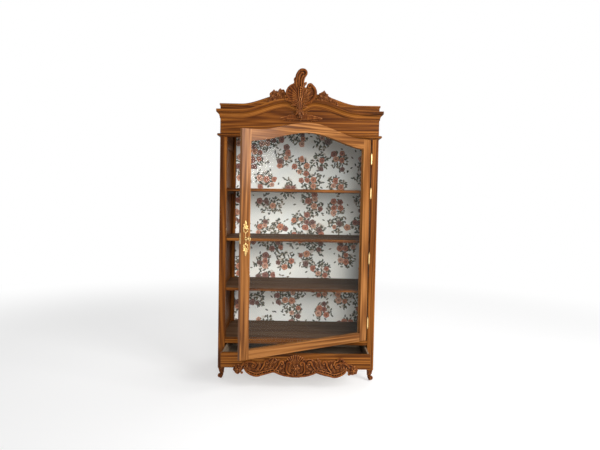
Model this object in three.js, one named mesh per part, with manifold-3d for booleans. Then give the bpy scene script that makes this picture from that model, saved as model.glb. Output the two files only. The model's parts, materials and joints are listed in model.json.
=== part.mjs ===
// Carved walnut display cabinet: one glazed door on the right-hand post, three shelves over a floor,
// a drawer with a carved apron below, and a curved cornice with a carved crest on top.
// Millimetres, +Z up, +X to the right as seen from the front, front facing -Y.
// It is drawn with the door and the drawer closed, then both are opened to their rest position.
import * as THREE from 'three';
import { mergeVertices } from 'three/addons/utils/BufferGeometryUtils.js';
import Module from 'manifold-3d';

const wasm = await Module();
wasm.setup();

// Overall sizes
const carcassWidth = 1136;
const carcassDepth = 618;
const doorShoulderHeight = 1450.5; // height of the door at its sides, below the arch
const footHeight = 82;

// How far the moving parts stand open at rest
const doorOpenDegrees = 33;
const drawerPull = 233;

// Clearances
const fit = 0.3; // between pieces that touch
const doorGap = 3; // round the closed door
const drawerGap = 2.5; // round the closed drawer front

// Carcass boards
const postSize = 50;
const postRound = 8;
const railThickness = 28;
const sidePanelThickness = 10;
const sidePanelInset = 9; // from the outer face of the side rails to the panel
const sideBottomRailHeight = 160;
const sideTopRailHeight = 66; // below the pediment
const boardThickness = 20; // floor and shelves
const shelfCount = 3;
const shelfSetback = 30;
const floorSetback = 25;
const floorLift = 18; // from the bottom of the rail in front of it
const cleatSize = { width: 18, height: 22, shortfall: 20 };
const roofThickness = 15;
const roofDrop = 39; // from the top of the pediment to the top of the roof board
const backThickness = 10;
const backInset = 2;
const liningThickness = 3.7;

// Drawer
const drawerBottom = 156;
const drawerFrontHeight = 106;
const drawerFrontThickness = 22;
const drawerWall = 13;
const drawerBaseThickness = 6;
const drawerBaseLift = 8;
const drawerRearSpace = 70; // left behind the closed drawer
const drawerSideDrop = 12; // from the top of the front to the top of the sides
const drawerPlay = 1.5;
const runner = { depth: 18, guideRise: 42 };
const lipSetback = 3; // of the rail between the drawer and the door
const lipHeight = 35; // rail between the drawer and the door, in front of the floor

// Door
const doorThickness = 26;
const doorProud = 3; // door face in front of the posts
const stileWidth = 64;
const bottomRailHeight = 60;
const topRailHeight = 73; // at the sides, where it is widest
const archRise = 76;
const archShoulder = 88; // straight length between the opening's edge and the arch
const sightRise = 83; // arch of the glass opening
const sightShoulder = 38;
const rebate = 8;
const rebateStart = 14; // from the door face
const glassThickness = 4;
const beadLip = 2;
const curveSteps = 28;

// Hinges: lift-off pairs with a pin
const hinge = { radius: 6, pin: 2.5, bore: 2.9, half: 36, leaf: 2, leafReach: 25, stand: 6.5 };
const hingeFromBottom = 129;
const hingeFromTop = 138.5;
const hingePairSpacing = 244;
const hingeSides = 12;

// Lock
const keyholeRise = 770; // above the bottom of the door
const lock = { depth: 51, height: 70, thickness: 12 };
const bolt = { length: 24.5, height: 14, thickness: 7 };
const strike = { width: 18, height: 60, thickness: 2, pocket: 15 };
const keyhole = { radius: 3.5, slotWidth: 3.6, slotDrop: 9.5 };
const key = { radius: 2.5, tip: 12, bowCentre: 47, bowRadius: 16, bowHole: 10, thickness: 4, bit: 8 };
const escutcheon = { height: 223, width: 38, thickness: 3.2 };

// Pediment and mouldings
const friezeHeight = 132.5; // at the sides, from the posts to the cornice
const corniceHeight = 64;
const corniceReach = 27;
const capRise = 41; // from the cornice to the top of the pediment
const capBand = 16;
const capReach = 5;
const pedimentThickness = 28;
const pedimentShoulder = 148; // level length at each end of the curved top
const pedimentRise = 76;
const pedimentDip = 36;
const pedimentDipHalfWidth = 100;
const astragalHeight = 18;
const astragalReach = 20;
const astragalLift = 15.5; // centre of the bead above the edge that it follows

// Carvings
const apronMargin = 90; // from the end of the drawer front to the end of the carving
const apronThickness = 18;
const crestThickness = 24;
const sprayThickness = 21;
const sprayLift = 2; // above the cornice, whose curve is made of short straight lengths

// Worked-out places
const halfWidth = carcassWidth / 2;
const openingHalf = halfWidth - postSize;
const lipBottom = drawerBottom + drawerFrontHeight + 3;
const floorBottom = lipBottom + floorLift;
const floorTop = floorBottom + boardThickness;
const doorBottom = lipBottom + lipHeight + doorGap;
const doorTop = doorBottom + doorShoulderHeight;
const openingTop = doorTop + doorGap;
const doorHalf = openingHalf - doorGap;
const doorFace = -doorProud;
const doorBack = doorFace + doorThickness;
const sightHalf = doorHalf - stileWidth;
const corniceBottom = openingTop + friezeHeight;
const corniceTop = corniceBottom + corniceHeight;
const pedimentTop = corniceTop + capRise;
const liningFace = carcassDepth - backInset - backThickness - fit - liningThickness;
const backPostFront = carcassDepth - postSize;
const sideRailInner = halfWidth - railThickness;
const sidePanelInner = halfWidth - sidePanelInset - sidePanelThickness;
const sideBottomRailTop = drawerBottom - 6 + sideBottomRailHeight;
const sideTopRailBottom = openingTop - sideTopRailHeight;
const shelfSpacing = (openingTop - floorTop) / (shelfCount + 1);
const hingeX = openingHalf - doorGap / 2;
const hingeY = doorFace - hinge.stand;
const keyholeX = -doorHalf + stileWidth / 2;
const keyholeZ = doorBottom + keyholeRise;

const woods = {
  case: { color: 0x8f5428, roughness: 0.45, metalness: 0 },
  door: { color: 0xb87342, roughness: 0.42, metalness: 0 },
  carving: { color: 0x6e3a1e, roughness: 0.5, metalness: 0 },
  inside: { color: 0x6b4426, roughness: 0.6, metalness: 0 },
};
const glassLook = { color: 0xdfe9ea, roughness: 0.05, metalness: 0, transparent: true, opacity: 0.25 };
const brassLook = { color: 0xc9a24e, roughness: 0.3, metalness: 1 };
const liningLook = { color: 0xd9d3cf, roughness: 0.9, metalness: 0 };

// Scene groups
const cabinet = new THREE.Group();
const doorSwing = new THREE.Group();
const door = new THREE.Group();
const drawer = new THREE.Group();
doorSwing.position.set(hingeX, hingeY, 0);
doorSwing.rotation.z = THREE.MathUtils.degToRad(doorOpenDegrees);
door.position.set(-hingeX, -hingeY, 0);
drawer.position.y = -drawerPull;
doorSwing.add(door);
cabinet.add(doorSwing, drawer);

function addPiece(parent, name, geometry, look) {
  const mesh = new THREE.Mesh(geometry, new THREE.MeshStandardMaterial(look));
  mesh.name = name;
  parent.add(mesh);
}

// A box from its two opposite corners
function block(low, high) {
  const size = high.map((value, axis) => value - low[axis]);
  const geometry = new THREE.BoxGeometry(...size);
  geometry.translate(...high.map((value, axis) => (value + low[axis]) / 2));
  return geometry;
}

// The same box on the right (side 1) or mirrored to the left (side -1)
function sideBlock(side, low, high) {
  const xs = [side * low[0], side * high[0]].sort((a, b) => a - b);
  return block([xs[0], low[1], low[2]], [xs[1], high[1], high[2]]);
}

function polygon(points) {
  return new THREE.Shape(points.map(([x, y]) => new THREE.Vector2(x, y)));
}

function extrude(shape, depth, curveSegments = 6, steps = 1) {
  return new THREE.ExtrudeGeometry(shape, { depth, steps, curveSegments, bevelEnabled: false });
}

// A shape drawn in front view (x, z), with its thickness between two values of y
function frontPlate(shape, front, back, curveSegments) {
  const geometry = extrude(shape, back - front, curveSegments);
  geometry.rotateX(Math.PI / 2);
  geometry.translate(0, back, 0);
  return geometry;
}

// A shape drawn in plan (x, y), between two heights
function planPlate(shape, bottom, top) {
  const geometry = extrude(shape, top - bottom);
  geometry.translate(0, 0, bottom);
  return geometry;
}

// A section drawn in side view (y, z), running along x from one value to another
function sideBar(shape, from, to) {
  const geometry = extrude(shape, to - from);
  const basis = new THREE.Matrix4().makeBasis(
    new THREE.Vector3(0, 1, 0),
    new THREE.Vector3(0, 0, 1),
    new THREE.Vector3(1, 0, 0),
  );
  geometry.applyMatrix4(basis);
  geometry.translate(from, 0, 0);
  return geometry;
}

// A round bar along y
function roundBar(radius, front, back, x, z, sides = 16) {
  const geometry = new THREE.CylinderGeometry(radius, radius, back - front, sides);
  geometry.translate(x, (front + back) / 2, z);
  return geometry;
}

function toSolid(geometry) {
  const bare = geometry.clone();
  bare.deleteAttribute('normal');
  bare.deleteAttribute('uv');
  const merged = mergeVertices(bare, 1e-4);
  const vertProperties = new Float32Array(merged.attributes.position.array);
  const triVerts = new Uint32Array(merged.index.array);
  return new wasm.Manifold(new wasm.Mesh({ numProp: 3, vertProperties, triVerts }));
}

function toGeometry(solid) {
  const mesh = solid.getMesh();
  const geometry = new THREE.BufferGeometry();
  geometry.setAttribute('position', new THREE.BufferAttribute(mesh.vertProperties, 3));
  geometry.setIndex(new THREE.BufferAttribute(mesh.triVerts, 1));
  geometry.computeVertexNormals();
  return geometry;
}

function union(first, ...others) {
  return toGeometry(others.reduce((solid, other) => solid.add(toSolid(other)), toSolid(first)));
}

function cut(first, ...tools) {
  return toGeometry(tools.reduce((solid, tool) => solid.subtract(toSolid(tool)), toSolid(first)));
}

// Rises smoothly from 0 to 1 as t goes from 0 to 1, level at both ends
function ease(t) {
  const clamped = Math.min(Math.max(t, 0), 1);
  return clamped * clamped * (3 - 2 * clamped);
}

function doorArch(x) {
  return archRise * ease(1 - Math.abs(x) / (openingHalf - archShoulder));
}

function sightArch(x) {
  return sightRise * ease(1 - Math.abs(x) / (openingHalf - sightShoulder));
}

// Two swells that meet in a dip under the crest
function pedimentCurve(x) {
  const across = Math.abs(x);
  const span = halfWidth - pedimentShoulder;
  const swell = pedimentRise * ease((span - across) / (span - pedimentDipHalfWidth));
  const dip = pedimentDip * Math.cos((Math.min(across / pedimentDipHalfWidth, 1) * Math.PI) / 2) ** 2;
  return swell - dip;
}

// Points along a curved edge from one x to another, both ends included
function edgePoints(from, to, height) {
  return Array.from({ length: curveSteps + 1 }, (unused, step) => {
    const x = from + ((to - from) * step) / curveSteps;
    return [x, height(x)];
  });
}

// A post's section: square, with its outer front corner rounded over
function postOutline(side) {
  const outline = new THREE.Shape();
  outline.moveTo(side * openingHalf, 0);
  outline.lineTo(side * (halfWidth - postRound), 0);
  outline.quadraticCurveTo(side * halfWidth, 0, side * halfWidth, postRound);
  outline.lineTo(side * halfWidth, postSize);
  outline.lineTo(side * openingHalf, postSize);
  return outline;
}

// Recess for the strike plate, and the pocket behind it that takes the bolt
function strikeCuts() {
  const middle = doorFace + doorThickness / 2;
  const faceX = -openingHalf;
  const half = { y: strike.width / 2 + fit, z: strike.height / 2 + fit };
  const recess = block(
    [faceX - strike.thickness - fit, middle - half.y, keyholeZ - half.z],
    [faceX + 1, middle + half.y, keyholeZ + half.z],
  );
  return [recess, boltPassage(faceX - strike.pocket, faceX + 1)];
}

// The space that the bolt slides through, 1 mm larger than the bolt all round
function boltPassage(from, to) {
  const middle = doorFace + doorThickness / 2;
  const half = { y: bolt.thickness / 2 + 1, z: bolt.height / 2 + 1 };
  return block([from, middle - half.y, keyholeZ - half.z], [to, middle + half.y, keyholeZ + half.z]);
}

function buildPosts() {
  for (const [name, side] of [['left', -1], ['right', 1]]) {
    const whole = planPlate(postOutline(side), footHeight + fit, openingTop - fit);
    const front = side < 0 ? cut(whole, ...strikeCuts()) : whole;
    addPiece(cabinet, `front_post_${name}`, front, woods.case);
    const low = [openingHalf, backPostFront, 0];
    const high = [halfWidth, carcassDepth, pedimentTop];
    addPiece(cabinet, `back_post_${name}`, sideBlock(side, low, high), woods.case);
  }
  const middle = doorFace + doorThickness / 2;
  const plate = block(
    [-openingHalf - strike.thickness, middle - strike.width / 2, keyholeZ - strike.height / 2],
    [-openingHalf - 0.1, middle + strike.width / 2, keyholeZ + strike.height / 2],
  );
  const holed = cut(plate, boltPassage(-openingHalf - strike.pocket, -openingHalf + 1));
  addPiece(cabinet, 'strike_plate', holed, brassLook);
}

// Scroll foot: its outline in the plane of the corner's diagonal, u pointing outwards
function buildFeet() {
  const half = { top: 24, thickness: 17 };
  const toe = { u: 9, radius: 18 };
  const outline = new THREE.Shape();
  outline.moveTo(-half.top, footHeight);
  outline.lineTo(half.top, footHeight);
  outline.bezierCurveTo(half.top, footHeight - 18, -2, footHeight - 24, -2, 2 * toe.radius + 2);
  outline.absarc(toe.u, toe.radius, toe.radius, Math.PI * 0.45, -Math.PI / 2, true);
  outline.lineTo(toe.u - 13, 0);
  outline.bezierCurveTo(toe.u - 29, 4, -27, 36, -half.top, footHeight);
  for (const [name, side] of [['left', -1], ['right', 1]]) {
    const foot = frontPlate(outline, -half.thickness, half.thickness, 8);
    foot.rotateZ(side < 0 ? -Math.PI * 0.75 : -Math.PI * 0.25);
    foot.translate(side * (halfWidth - postSize / 2), postSize / 2, 0);
    addPiece(cabinet, `front_foot_${name}`, foot, woods.carving);
  }
}

function buildSides() {
  const front = postSize + fit;
  const back = backPostFront - fit;
  const bottomRailFoot = drawerBottom - 6;
  for (const [name, side] of [['left', -1], ['right', 1]]) {
    const railLow = [sideRailInner, front, bottomRailFoot];
    const railHigh = [halfWidth, back, sideBottomRailTop];
    addPiece(cabinet, `side_bottom_rail_${name}`, sideBlock(side, railLow, railHigh), woods.case);

    const topRail = polygon([
      [front, sideTopRailBottom],
      [back, sideTopRailBottom],
      [back, pedimentTop],
      [pedimentThickness + fit, pedimentTop],
      [pedimentThickness + fit, openingTop],
      [front, openingTop],
    ]);
    const from = side < 0 ? -halfWidth : sideRailInner;
    addPiece(cabinet, `side_top_rail_${name}`, sideBar(topRail, from, from + railThickness), woods.case);

    const panelLow = [sidePanelInner, front, sideBottomRailTop + fit];
    const panelHigh = [sidePanelInner + sidePanelThickness, back, sideTopRailBottom - fit];
    addPiece(cabinet, `side_panel_${name}`, sideBlock(side, panelLow, panelHigh), woods.inside);
  }
}

// A board across the cabinet, notched round the back posts, and round the front ones if it passes them
function notchedBoard(half, front, bottom, top) {
  const inner = openingHalf - fit;
  const back = liningFace - fit;
  const passesFrontPosts = bottom < openingTop;
  const points = passesFrontPosts
    ? [[inner, front], [inner, postSize + fit], [half, postSize + fit]]
    : [[half, front]];
  points.push([half, backPostFront - fit], [inner, backPostFront - fit], [inner, back]);
  const mirrored = points.map(([x, y]) => [-x, y]).reverse();
  return planPlate(polygon([...points, ...mirrored]), bottom, top);
}

function buildBoards() {
  const railInside = sideRailInner - fit;
  const panelInside = sidePanelInner - fit;
  const floorBoard = notchedBoard(railInside, floorSetback, floorBottom, floorTop);
  addPiece(cabinet, 'floor_board', floorBoard, woods.inside);

  const inner = openingHalf - fit;
  const lipBack = floorSetback - fit;
  const lip = block([-inner, lipSetback, lipBottom], [inner, lipBack, lipBottom + lipHeight]);
  addPiece(cabinet, 'drawer_head_rail', lip, woods.case);

  const roofTop = pedimentTop - roofDrop;
  const roof = notchedBoard(railInside, pedimentThickness + fit, roofTop - roofThickness, roofTop);
  addPiece(cabinet, 'roof_board', roof, woods.inside);

  for (let number = 1; number <= shelfCount; number += 1) {
    const top = floorTop + number * shelfSpacing;
    const bottom = top - boardThickness;
    const shelf = notchedBoard(panelInside, shelfSetback, bottom, top);
    addPiece(cabinet, `shelf_${number}`, shelf, woods.inside);
    for (const [name, side] of [['left', -1], ['right', 1]]) {
      const low = [panelInside - cleatSize.width, postSize + cleatSize.shortfall, bottom - cleatSize.height];
      const high = [panelInside, backPostFront - cleatSize.shortfall, bottom - fit];
      addPiece(cabinet, `shelf_cleat_${number}_${name}`, sideBlock(side, low, high), woods.inside);
    }
  }

  const backFront = liningFace + liningThickness + fit;
  const backBottom = drawerBottom - 6;
  const backBoard = block([-inner, backFront, backBottom], [inner, backFront + backThickness, roofTop]);
  addPiece(cabinet, 'back_board', backBoard, woods.inside);
  const lining = block([-inner, liningFace, floorBottom], [inner, liningFace + liningThickness, roofTop]);
  addPiece(cabinet, 'fabric_lining', lining, liningLook);
}

// A moulding that runs from the back along one side, across the front and along the other side.
// Its section is drawn as (reach, height); lift raises the front run over the curved edge.
function wrapMoulding(section, lift, back) {
  const stations = curveSteps * 2;
  const geometry = extrude(polygon(section), stations + 2, 6, stations + 2);
  const place = geometry.attributes.position;
  for (let index = 0; index < place.count; index += 1) {
    const reach = place.getX(index);
    const station = Math.round(place.getZ(index));
    const share = THREE.MathUtils.clamp(1 - (2 * (station - 1)) / stations, -1, 1);
    const atBack = station === 0 || station === stations + 2;
    const x = share * (halfWidth + reach);
    place.setXYZ(index, x, atBack ? back : -reach, place.getY(index) + lift(x));
  }
  return geometry;
}

function shifted(section, height) {
  return section.map(([reach, rise]) => [reach, rise + height]);
}

function coveSection() {
  const hollow = new THREE.QuadraticBezierCurve(
    new THREE.Vector2(4, 3),
    new THREE.Vector2(6, 32),
    new THREE.Vector2(corniceReach - 5, 39),
  );
  const cove = hollow.getPoints(5).map((point) => [point.x, point.y]);
  const band = corniceHeight - 21;
  return [
    [fit, 0],
    [3, 0],
    ...cove,
    [corniceReach - 5, band],
    [corniceReach, band],
    [corniceReach, corniceHeight],
    [fit, corniceHeight],
  ];
}

function astragalSection() {
  const nose = astragalHeight / 2;
  const section = [[fit, -nose]];
  const noseSteps = 6;
  for (let step = 0; step <= noseSteps; step += 1) {
    const angle = (step / noseSteps - 0.5) * Math.PI;
    section.push([astragalReach - nose + nose * Math.cos(angle), nose * Math.sin(angle)]);
  }
  section.push([fit, nose]);
  return section;
}

function buildPediment() {
  const archHalf = openingHalf - archShoulder;
  const lower = edgePoints(-archHalf, archHalf, (x) => openingTop + doorArch(x));
  const upper = edgePoints(halfWidth - pedimentShoulder, 0, (x) => pedimentTop + pedimentCurve(x));
  const upperLeft = edgePoints(0, pedimentShoulder - halfWidth, (x) => pedimentTop + pedimentCurve(x));
  const outline = polygon([
    [-halfWidth, openingTop],
    ...lower,
    [halfWidth, openingTop],
    [halfWidth, pedimentTop],
    ...upper,
    ...upperLeft.slice(1),
    [-halfWidth, pedimentTop],
  ]);
  addPiece(cabinet, 'pediment_board', frontPlate(outline, 0, pedimentThickness, 1), woods.case);

  const cornice = wrapMoulding(shifted(coveSection(), corniceBottom), pedimentCurve, carcassDepth);
  addPiece(cabinet, 'cornice', cornice, woods.case);

  const capSection = [[fit, -capBand], [2, -capBand], [capReach, 6 - capBand], [capReach, 0], [fit, 0]];
  const cap = wrapMoulding(shifted(capSection, pedimentTop), pedimentCurve, carcassDepth);
  addPiece(cabinet, 'cap_moulding', cap, woods.case);

  const bead = wrapMoulding(shifted(astragalSection(), openingTop + astragalLift), doorArch, carcassDepth);
  addPiece(cabinet, 'astragal', bead, woods.case);
}

// A closed smooth outline through the points of a carving
function carvedOutline(points) {
  const vectors = points.map(([x, z]) => new THREE.Vector2(x, z));
  const outline = new THREE.Shape();
  outline.moveTo(vectors[0].x, vectors[0].y);
  outline.splineThru([...vectors.slice(1), vectors[0].clone()]);
  return outline;
}

// The crest: a plume over a shell and a scroll, with a tail that hangs over the cornice to a leaf
function buildCrest() {
  const base = corniceBottom;
  const back = -corniceReach - 1;
  const outline = carvedOutline([
    [-26, 72], [-34, 118], [-74, 145], [-94, 178], [-92, 204], [-74, 232], [-44, 255], [-40, 284],
    [-31, 318], [-10, 346], [17, 354], [42, 344], [49, 318], [40, 298], [24, 276], [26, 250],
    [34, 218], [44, 228], [52, 246], [70, 251], [96, 232], [113, 190], [104, 150], [60, 122],
    [24, 106], [17, 72], [24, 42], [2, 30], [-26, 42],
  ]);
  const plate = frontPlate(outline, back - crestThickness, back, 2);
  plate.translate(0, 0, base);
  const support = block([-72, back - 1, base + 150], [92, -capReach - fit, base + 222]);
  const bracket = block([-16, back - crestThickness + 2, base + 6], [14, -fit, base + 36]);
  const leaf = new THREE.Shape();
  leaf.moveTo(-140, 8);
  leaf.quadraticCurveTo(4, -12, 163, 9);
  leaf.quadraticCurveTo(4, 62, -140, 8);
  const leafPlate = frontPlate(leaf, -14, -fit, 10);
  leafPlate.translate(0, 0, base);
  addPiece(cabinet, 'crest', union(plate, support, bracket, leafPlate), woods.carving);

  const sprays = {
    left: { from: -224, to: -100, top: [[-116, 190], [-139, 214], [-162, 190], [-188, 204], [-212, 186]] },
    right: { from: 120, to: 270, top: [[250, 142], [222, 150], [196, 172], [171, 206], [138, 186]] },
  };
  for (const [name, spray] of Object.entries(sprays)) {
    const rest = (x) => corniceTop + pedimentCurve(x) + sprayLift;
    const bottom = edgePoints(spray.from, spray.to, rest).filter((point, index) => index % 2 === 0);
    const top = spray.top.map(([x, z]) => [x, corniceBottom + z]);
    const plateFront = -capReach - fit - sprayThickness;
    const leaves = frontPlate(polygon([...bottom, ...top]), plateFront, -capReach - fit, 1);
    addPiece(cabinet, `crest_spray_${name}`, leaves, woods.carving);
  }
}

// The frame's edges: the outside of the door and the edge of the glass opening
function doorTopEdge(x) {
  return doorTop + doorArch(x);
}

function sightEdge(x) {
  return doorTop - topRailHeight + sightArch(x);
}

// The outline of a panel behind the glass opening, larger than it by a margin (smaller if negative)
function sightOutline(margin, PathKind = THREE.Shape) {
  const half = sightHalf + margin;
  const bottom = doorBottom + bottomRailHeight - margin;
  const top = edgePoints(half, -half, (x) => sightEdge(x) + margin);
  const points = [[-half, bottom], [half, bottom], ...top];
  return new PathKind(points.map(([x, z]) => new THREE.Vector2(x, z)));
}

function lockCuts() {
  const middle = doorFace + doorThickness / 2;
  const pocket = block(
    [-doorHalf - 1, middle - lock.thickness / 2, keyholeZ - lock.height / 2],
    [-doorHalf + lock.depth + fit, middle + lock.thickness / 2, keyholeZ + lock.height / 2],
  );
  return [pocket, ...keyholeCuts(middle)];
}

// A round hole with a slot below it, from in front of the escutcheon to a given depth
function keyholeCuts(back) {
  const front = doorFace - 2 * escutcheon.thickness;
  const half = keyhole.slotWidth / 2;
  const slot = block(
    [keyholeX - half, front, keyholeZ - keyhole.slotDrop],
    [keyholeX + half, back, keyholeZ],
  );
  return [roundBar(keyhole.radius, front, back, keyholeX, keyholeZ), slot];
}

function buildDoorFrame() {
  const rebateFront = doorFace + rebateStart;
  const lockSide = planPlate(stileOutline(-1, rebateFront), doorBottom, doorTop);
  addPiece(door, 'door_stile_lock', cut(lockSide, ...lockCuts()), woods.door);
  const hingeSide = planPlate(stileOutline(1, rebateFront), doorBottom, doorTop);
  addPiece(door, 'door_stile_hinge', hingeSide, woods.door);

  // Each rail has a full-depth middle, a lip in front of the glass and tongues in the stiles' rebates
  const inner = sightHalf - fit;
  const sightBottom = doorBottom + bottomRailHeight;
  const tongueFront = rebateFront + fit;
  const bottomRail = union(
    block([-inner, doorFace, doorBottom], [inner, rebateFront, sightBottom]),
    block([-inner, doorFace, doorBottom], [inner, doorBack, sightBottom - rebate]),
    block([-inner - rebate, tongueFront, doorBottom], [inner + rebate, doorBack, sightBottom - rebate]),
  );
  addPiece(door, 'door_bottom_rail', bottomRail, woods.door);

  const topRail = union(
    frontPlate(railOutline(inner, 0), doorFace, rebateFront, 1),
    frontPlate(railOutline(inner, rebate), doorFace, doorBack, 1),
    frontPlate(railOutline(inner + rebate, rebate), tongueFront, doorBack, 1),
  );
  addPiece(door, 'door_top_rail', topRail, woods.door);

  const glassMargin = rebate - fit;
  const glassFront = rebateFront + fit;
  const glassBack = glassFront + glassThickness;
  addPiece(door, 'door_glass', frontPlate(sightOutline(glassMargin), glassFront, glassBack, 1), glassLook);
  const bead = sightOutline(glassMargin);
  bead.holes.push(sightOutline(-beadLip, THREE.Path));
  addPiece(door, 'glazing_bead', frontPlate(bead, glassBack + fit, doorBack - fit, 1), woods.door);
}

// A stile's section in plan, with the step that holds the glass
function stileOutline(side, rebateFront) {
  return polygon([
    [side * sightHalf, doorFace],
    [side * doorHalf, doorFace],
    [side * doorHalf, doorBack],
    [side * (sightHalf + rebate), doorBack],
    [side * (sightHalf + rebate), rebateFront],
    [side * sightHalf, rebateFront],
  ]);
}

// The arched top rail, with its lower edge raised by the rebate at the back
function railOutline(half, raise) {
  return polygon([
    ...edgePoints(-half, half, doorTopEdge),
    ...edgePoints(half, -half, (x) => sightEdge(x) + raise),
  ]);
}

// Each hinge has a half on the post, which carries the pin, and a half on the door, bored for it
function buildHinges() {
  const top = doorTop - hingeFromTop;
  const bottom = doorBottom + hingeFromBottom;
  const upper = top - hingePairSpacing;
  const heights = [bottom, (bottom + upper) / 2, upper, top];
  const { radius, pin, bore, half, leaf, leafReach } = hinge;
  const knob = [[0, -5], [2.6, -4], [3.4, -2], [2.2, -0.4], [radius, 0.5]];
  const finial = knob.map(([r, z]) => [r, z - half]);
  const pinTop = half - 6;
  const lowerProfile = [...finial, [radius, -0.2], [pin, -0.2], [pin, pinTop], [0, pinTop]];
  const upperProfile = [
    [0, pinTop + 1],
    [bore, pinTop + 1],
    [bore, 0.2],
    [radius, 0.2],
    ...finial.map(([r, z]) => [r, -z]).reverse(),
  ];
  heights.forEach((height, index) => {
    const lower = knuckle(lowerProfile, height);
    const upperHalf = knuckle(upperProfile, height);
    const back = hingeY + leafReach;
    const leafFront = hingeY + radius - 1.5;
    const x = [hingeX - leaf / 2, hingeX + leaf / 2];
    const postLeaf = block([x[0], leafFront, height - half + 1], [x[1], back, height - 0.2]);
    const doorLeaf = block([x[0], leafFront, height + 0.2], [x[1], back, height + half - 1]);
    addPiece(cabinet, `post_hinge_${index + 1}`, union(lower, postLeaf), brassLook);
    addPiece(door, `door_hinge_${index + 1}`, union(upperHalf, doorLeaf), brassLook);
  });
}

function knuckle(profile, height) {
  const points = profile.map(([x, y]) => new THREE.Vector2(x, y));
  const geometry = new THREE.LatheGeometry(points, hingeSides);
  geometry.rotateX(Math.PI / 2);
  geometry.translate(hingeX, hingeY, height);
  return geometry;
}

function buildLock() {
  const middle = doorFace + doorThickness / 2;
  const front = middle - lock.thickness / 2 + fit;
  const back = middle + lock.thickness / 2 - fit;
  const caseBlock = block(
    [-doorHalf + 0.2, front, keyholeZ - lock.height / 2 + fit],
    [-doorHalf + lock.depth, back, keyholeZ + lock.height / 2 - fit],
  );
  const channel = boltPassage(-doorHalf - 1, -doorHalf + bolt.length + 1.5);
  const chamber = roundBar(key.bit + 1, front - 1, back - 2, keyholeX, keyholeZ);
  addPiece(door, 'lock_case', cut(caseBlock, channel, chamber), brassLook);

  const boltBlock = block(
    [-doorHalf + 0.3, middle - bolt.thickness / 2, keyholeZ - bolt.height / 2],
    [-doorHalf + 0.3 + bolt.length, middle + bolt.thickness / 2, keyholeZ + bolt.height / 2],
  );
  addPiece(door, 'lock_bolt', boltBlock, brassLook);

  const shaftFront = doorFace - key.bowCentre + 12;
  const shaft = roundBar(key.radius, shaftFront, doorFace + key.tip, keyholeX, keyholeZ, 12);
  const ring = new THREE.Shape();
  ring.absarc(0, 0, key.bowRadius, 0, Math.PI * 2);
  const hole = new THREE.Path();
  hole.absarc(0, 0, key.bowHole, 0, Math.PI * 2, true);
  ring.holes.push(hole);
  const bow = sideBar(ring, keyholeX - key.thickness / 2, keyholeX + key.thickness / 2);
  bow.translate(0, doorFace - key.bowCentre, keyholeZ);
  const bitWidth = keyhole.slotWidth - 1;
  const bit = block(
    [keyholeX - bitWidth / 2, middle - 3, keyholeZ - key.bit],
    [keyholeX + bitWidth / 2, doorFace + key.tip - 1, keyholeZ],
  );
  addPiece(door, 'key', union(shaft, bow, bit), brassLook);

  const { height, width, thickness } = escutcheon;
  const half = width / 2;
  const end = height / 2;
  const outline = carvedOutline([
    [-7, 0], [-6, 22], [-10, 34], [-half, 44], [-half + 2, 72], [-10, 86], [-9, end - 6], [0, end],
    [9, end - 6], [10, 86], [half - 2, 72], [half, 44], [10, 34], [6, 22], [7, 0], [6, -22],
    [10, -34], [half, -44], [half - 2, -72], [10, -86], [9, 6 - end], [0, -end], [-9, 6 - end],
    [-10, -86], [2 - half, -72], [-half, -44], [-10, -34], [-6, -22],
  ]);
  const plate = frontPlate(outline, doorFace - fit - thickness, doorFace - fit, 2);
  plate.translate(keyholeX, 0, keyholeZ);
  addPiece(door, 'escutcheon', cut(plate, ...keyholeCuts(doorFace)), brassLook);
}

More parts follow.
